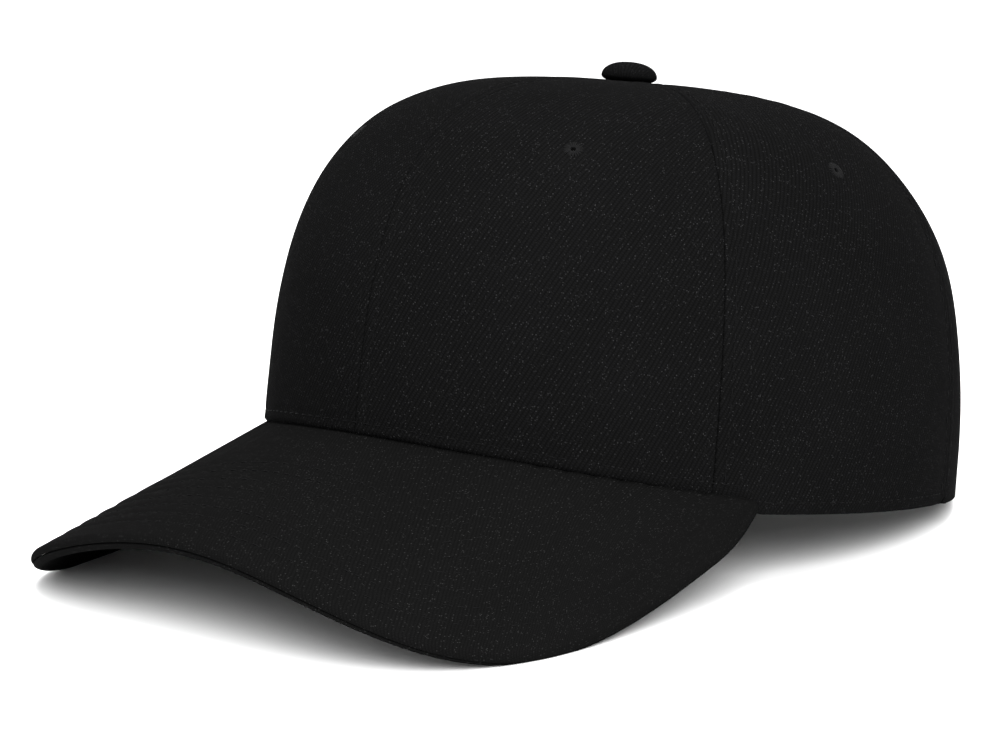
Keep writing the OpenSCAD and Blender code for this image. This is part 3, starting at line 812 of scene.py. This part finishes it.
def rounded(thick, edge):
    """Thickness over a strip's height t, thinner within edge of its top and bottom."""
    def profile(t):
        near = np.clip(1 - np.minimum(t, 1 - t) / edge, 0, 1)
        return thick * (0.35 + 0.65 * np.sqrt(np.clip(1 - near ** 2, 0, 1)))
    return profile


def band_wave(a, t):
    return 0.22 * np.sin(np.radians(a) * 17 + 2 * t) * t + 0.5 * t * t + 0.12 * bell(t - 0.93, 0.05)


band_rows = np.unique(np.concatenate([np.linspace(0, 1, 25), [0.01, 0.02, 0.98, 0.99]]))
band_end = 180 - ARCH_ANGLE - 1
band, u = strip("sweatband", -band_end, band_end, 330, band_rows, 0.0, BAND_H, BAND_D, band_twill,
                band_wave, rounded(BAND_T, 0.02), 700.0)
for k_row in (3.0, BAND_H - 2.2):
    t = k_row / BAND_H
    a_row = np.linspace(-band_end + 0.5, band_end - 0.5, 600)
    inside = BAND_D + band_wave(a_row, t) + strap_room(a_row) + BAND_T
    z_row = band_low(a_row) + k_row
    row = crown(a_row, z_row, inside)
    thread_lines["band_stitches"].append(stitches(row, -crown_normal(a_row, z_row), lift=0.1))

padding, _ = strip("sweatband_padding", -100.0, 100.0, 260, np.linspace(0, 1, 15), 4.5, BAND_H - 7.5,
                   PADDING_D, foam, None, rounded(PADDING_T, 0.2))

tab, u = strip("size_tab", 128.0, 140.0, 24, np.linspace(0, 1, 30), 5.0, 22.0, TAB_D + 0.55, tab_weave,
               lambda a, t: 0.5 * t * t + 0.25 * np.sin(3.1 * t), rounded(TAB_T, 0.03), 800.0)


# ---- Brim ----------------------------------------------------------------------------------------
rim_s = np.linspace(-1, 1, 801)
rim_line = brim_face(rim(rim_s))


def rim_distance(p):
    flat = p.reshape(-1, 3)
    out = np.concatenate([np.min(np.linalg.norm(part[:, None] - rim_line[::2], axis=-1), axis=1)
                          for part in np.array_split(flat, 40)])
    return out.reshape(p.shape[:-1])


def brim_grid():
    s = np.linspace(-1, 1, 241)
    v = spaced(0, 1, 0.008, 0.0125, [1.0], 0.1)[:, None, None]
    inner = outline(BRIM_END * s, BRIM_TUCK)
    return s, mix(inner[None], rim(s)[None], v)


s_cols, plan = brim_grid()
middle = brim_face(plan)
to_rim = rim_distance(middle)
groove = 0 * to_rim
for k in range(BRIM_ROWS):
    groove = groove + bell(to_rim - (BRIM_ROW_1 + k * BRIM_ROW_STEP), 0.75)
between = 0.5 - 0.5 * np.cos((to_rim - BRIM_ROW_1) / BRIM_ROW_STEP * 2 * math.pi)
between = np.where(to_rim > BRIM_ROW_1, between, smooth(to_rim / BRIM_ROW_1 * 0.6))


def roll(side, r):
    """Rows that turn from one face of the brim round its rim to the middle of the edge."""
    turns = np.array([12, 25, 38, 51, 64, 75, 82, 87])
    tucked = np.array([0, 0, 0, 0, 0, 0.02, 0.12, 0.5])
    rows = []
    for turn, tuck in zip(turns, tucked):
        rr = r - tuck
        rows.append(brim_face(rim(s_cols), side * rr * cosd(turn)) + rr * sind(turn) * rim_out(s_cols))
    return np.stack(rows)


def brim_cover(name, side, material, seed):
    uneven = ripples(middle[..., 0], middle[..., 1], 0.06, int(seed))
    off = BRIM_T / 2 - 0.24 * groove + 0.10 * (between - 0.6) + uneven * smooth(to_rim / 6)
    skin = np.concatenate([brim_face(plan, side * off), roll(side, BRIM_T / 2)])
    lining = BOARD_T / 2 + 0.15
    under = np.concatenate([brim_face(plan, side * lining + 0 * off), roll(side, lining)])
    outer, inner = (skin, under) if side > 0 else (skin[:, ::-1], under[:, ::-1])
    u, v = lengths(outer, 1), lengths(outer, 0)
    u = u - u[:, 120:121]
    piece = slab(name, outer, inner, material, u, v, None, seed)
    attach(piece, "cap")
    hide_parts(name)


brim_cover("brim_top_cover", 1, brim_twill, 21.0)
brim_cover("brim_under_cover", -1, brim_twill, 22.0)

inward = unit(np.stack([-np.gradient(rim(rim_s)[:, 1]), np.gradient(rim(rim_s)[:, 0])], -1))
inward *= np.sign(np.sum(inward * (np.array([0, -80.0]) - rim(rim_s)), axis=-1, keepdims=True))
for k in range(BRIM_ROWS):
    want = BRIM_ROW_1 + k * BRIM_ROW_STEP
    plan_step = want * np.ones(len(rim_s))
    for _ in range(4):
        line = rim(rim_s) + inward * plan_step[:, None]
        plan_step *= want / np.linalg.norm(brim_face(line) - rim_line, axis=-1)
    gap_to_rim = np.array([np.min(np.linalg.norm(point - rim_line, axis=-1)) for point in brim_face(line)])
    radius = np.hypot(line[:, 0] / (HALF_W + 1), line[:, 1] / (HALF_L + 1))
    good = (gap_to_rim > want - 0.25) & (radius > 1) & (line[:, 1] < RIM_BACK - 4)
    parts = np.split(np.arange(len(line)), np.flatnonzero(np.diff(good.astype(int))) + 1)
    for part in parts:
        if good[part[0]] and len(part) > 12:
            for side in (1, -1):
                path = brim_face(line[part], side * (BRIM_T / 2 - 0.2))
                thread_lines["brim_stitches"].append(stitches(path, side * brim_up(line[part]), 3.5, 0.7))


# ---- Snap strap ----------------------------------------------------------------------------------
def strap_piece(name, side, inset, has_holes):
    """One moulded strap from its round tip to its sewn end, with a raised border and either holes or room in
    the border round each stud.
    """
    total = (TIP_TURN + ROOT_TURN) / per_mm(STRAP_R)
    along = np.concatenate([[0.04, 0.2, 0.45, 0.75], spaced(1.1, total, 0.42, 0.5, [20.0], 0.0)])
    v = np.concatenate([[0, 0.012, 0.035], np.linspace(0.07, 0.93, 27), [0.965, 0.988, 1]])[:, None]
    tip_r = STRAP_H / 2
    reach = np.where(along < tip_r, np.sqrt(np.clip(tip_r ** 2 - (tip_r - along) ** 2, 0, None)), tip_r)
    up = tip_r + (2 * v - 1) * reach
    turn = -TIP_TURN + along * per_mm(STRAP_R) + 0 * v
    edge = np.minimum(reach * (1 - np.abs(2 * v - 1)), np.minimum(along, total - along) + 0 * v)
    x = along + 0 * v
    border = 0.18 * smooth((edge - 1.0) / 0.35)
    centres = (SNAP_PITCH * (np.arange(SNAP_COUNT) - 1) + TIP_TURN) / per_mm(STRAP_R)
    hole_r = HOLE_D / 2
    ring_r = hole_r if has_holes else STUD_D / 2
    for c in centres:
        gone = np.hypot(x - c, up - tip_r)
        border = border * smooth((gone - ring_r - 0.55) / 0.3)
    soft_edge = 0.26 * (1 - np.sqrt(np.clip(1 - (1 - np.clip(edge / 0.3, 0, 1)) ** 2, 0, 1)))
    front_d = inset + border + soft_edge
    back_d = inset + STRAP_T - soft_edge
    outer, inner = strap(turn, up, front_d), strap(turn, up, back_d)
    keep = None
    if has_holes:
        mid_x, mid_up = (x[:-1, :-1] + x[1:, 1:]) / 2, (up[:-1, :-1] + up[1:, 1:]) / 2
        keep = np.ones(mid_x.shape, bool)
        for c in centres:
            keep &= np.hypot(mid_x - c, mid_up - tip_r) > hole_r
        pad = np.pad(keep, 1, constant_values=True)
        four = np.stack([pad[:-1, :-1], pad[1:, :-1], pad[:-1, 1:], pad[1:, 1:]])
        rim_v = four.any(0) & ~four.all(0)
        for c in centres:
            near = rim_v & (np.hypot(x - c, up - tip_r) < hole_r + 1.2)
            dx, du = x[near] - c, up[near] - tip_r
            scale = hole_r / np.hypot(dx, du)
            new_turn = -TIP_TURN + (c + dx * scale) * per_mm(STRAP_R)
            outer[near] = strap(new_turn, tip_r + du * scale, front_d[near])
            inner[near] = strap(new_turn, tip_r + du * scale, back_d[near])
    # The left half's columns are reversed so that its faces look outward; the mirrored half's already do
    if side > 0:
        outer, inner = outer[:, ::-1], inner[:, ::-1]
        keep = None if keep is None else keep[:, ::-1]
    else:
        outer, inner = outer * [-1, 1, 1], inner * [-1, 1, 1]
    return slab(name, outer, inner, plastic_look, None, None, keep, 0.0, False, 35.0)


def stud_set():
    """Mushroom-headed studs on the stud strap, turned profiles joined into one mesh."""
    profile = np.array([[1.98, -0.35], [1.72, 0.05], [1.62, 0.5], [1.62, 1.0], [1.85, 1.2], [1.95, 1.38],
                        [1.88, 1.55], [1.6, 1.66], [1.0, 1.72], [0.0, 1.73]])
    sides = 28
    spin = np.arange(sides) * 2 * math.pi / sides
    points, faces, start = [], [], 0
    for i in range(SNAP_COUNT):
        turn = np.array(SNAP_PITCH * (i - 1))
        base = strap(turn, STRAP_H / 2, STUD_IN)
        out = np.array([float(sind(turn)), float(cosd(turn)), 0])
        side = np.array([out[1], -out[0], 0])
        body = (base + profile[:, None, 1:] * out + profile[:, None, :1] *
                (np.cos(spin)[:, None] * side + np.sin(spin)[:, None] * np.array([0, 0, 1.0])))
        body = body * [-1, 1, 1]
        idx = start + np.arange(len(profile) * sides).reshape(-1, sides)
        nxt = np.roll(idx, -1, axis=1)
        faces += np.stack([idx[:-1], idx[1:], nxt[1:], nxt[:-1]], -1).reshape(-1, 4).tolist()
        faces.append(idx[0].tolist())
        points.append(body.reshape(-1, 3))
        start += idx.size
    return points, faces


for name, side, inset, holes in (("hole_strap", 1, HOLE_IN, True), ("stud_strap", -1, STUD_IN, False)):
    piece = strap_piece(name, side, inset, holes)
    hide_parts(name, name + "_root")
    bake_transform(piece)
stud_points, stud_faces = stud_set()
studs = add_mesh("strap_studs", np.concatenate(stud_points), stud_faces, plastic_look)
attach(studs, "stud_strap")

# Box of stitches through each back panel and the strap's sewn end
for side in (1, -1):
    a_in, a_out = 180 - ARCH_ANGLE - 9.6 * per_mm(BACK_R), 180 - ARCH_ANGLE - 15.5 * per_mm(BACK_R)
    corner_a = side * np.array([a_in, a_in, a_out, a_out])
    corner_z = np.array([4.6, 15.0, 15.0, 4.6])
    for k in range(3):
        a = np.linspace(corner_a[k], corner_a[k + 1], 30)
        z = np.linspace(corner_z[k], corner_z[k + 1], 30)
        thread_lines["edge_stitches"].append(stitches(*crown_path(a, z, 0.02), pitch=2.6))

for name, lines in thread_lines.items():
    piece = tubes(name, lines, THREAD_R, thread_look, flat=0.8)
    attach(piece, "cap")

# ---- CAD nodes that stay -------------------------------------------------------------------------
for node, look in (("button_shell", metal_look), ("button_prong", metal_look), ("brim_board", board_look)):
    cad = frame["nodes"][node]
    cad.data.materials.clear()
    cad.data.materials.append(look)


# ---- Stage, light, camera ------------------------------------------------------------------------
def add_floor():
    floor_m = Nodes("pale_floor")
    position = floor_m.node("ShaderNodeTexCoord", 3)
    tone = floor_m.colour(floor_m.noise(position, 3.0), (0.92, 0.92, 0.92), (0.94, 0.94, 0.94))
    floor_m.finish(tone, 0.9, Specular_IOR_Level=0.1)
    bpy.ops.mesh.primitive_plane_add(size=12.0, location=(0, 0, 0))
    floor = bpy.context.object
    floor.name = "floor"
    floor.data.materials.append(floor_m.material)


def area_light(name, place, size, power):
    light = bpy.data.lights.new(name, "AREA")
    light.shape, light.size, light.energy = "DISK", size, power
    lamp = bpy.data.objects.new(name, light)
    lamp.location = place
    lamp.rotation_mode = "QUATERNION"
    lamp.rotation_quaternion = (Vector((0, 0, 0.06)) - Vector(place)).to_track_quat("-Z", "Y")
    bpy.context.scene.collection.objects.link(lamp)


add_floor()
area_light("key", (1.1, -1.0, 1.1), 1.4, 45.0)
area_light("top", (0.0, 0.0, 1.9), 1.4, 38.0)
world = bpy.data.worlds.new("studio")
world.use_nodes = True
world.node_tree.nodes["Background"].inputs["Color"].default_value = (1, 1, 1, 1)
world.node_tree.nodes["Background"].inputs["Strength"].default_value = 1.06
bpy.context.scene.world = world
bpy.context.scene.view_settings.view_transform = "Standard"

target = Vector((-0.02365, 0.0095, 0.04106))
azimuth, elevation, camera_roll = math.radians(40.98), math.radians(10.24), math.radians(-0.76)
level = math.cos(elevation)
towards = Vector((math.sin(azimuth) * level, -math.cos(azimuth) * level, math.sin(elevation)))
camera_data = bpy.data.cameras.new("camera")
camera_data.lens, camera_data.sensor_width = 115.6, 36.0
camera_data.clip_start, camera_data.clip_end = 0.05, 50.0
camera = bpy.data.objects.new("camera", camera_data)
camera.location = target + towards * 0.85
camera.rotation_mode = "QUATERNION"
camera.rotation_quaternion = (-towards).to_track_quat("-Z", "Y") @ Quaternion((0, 0, 1), camera_roll)
bpy.context.scene.collection.objects.link(camera)
bpy.context.scene.camera = camera
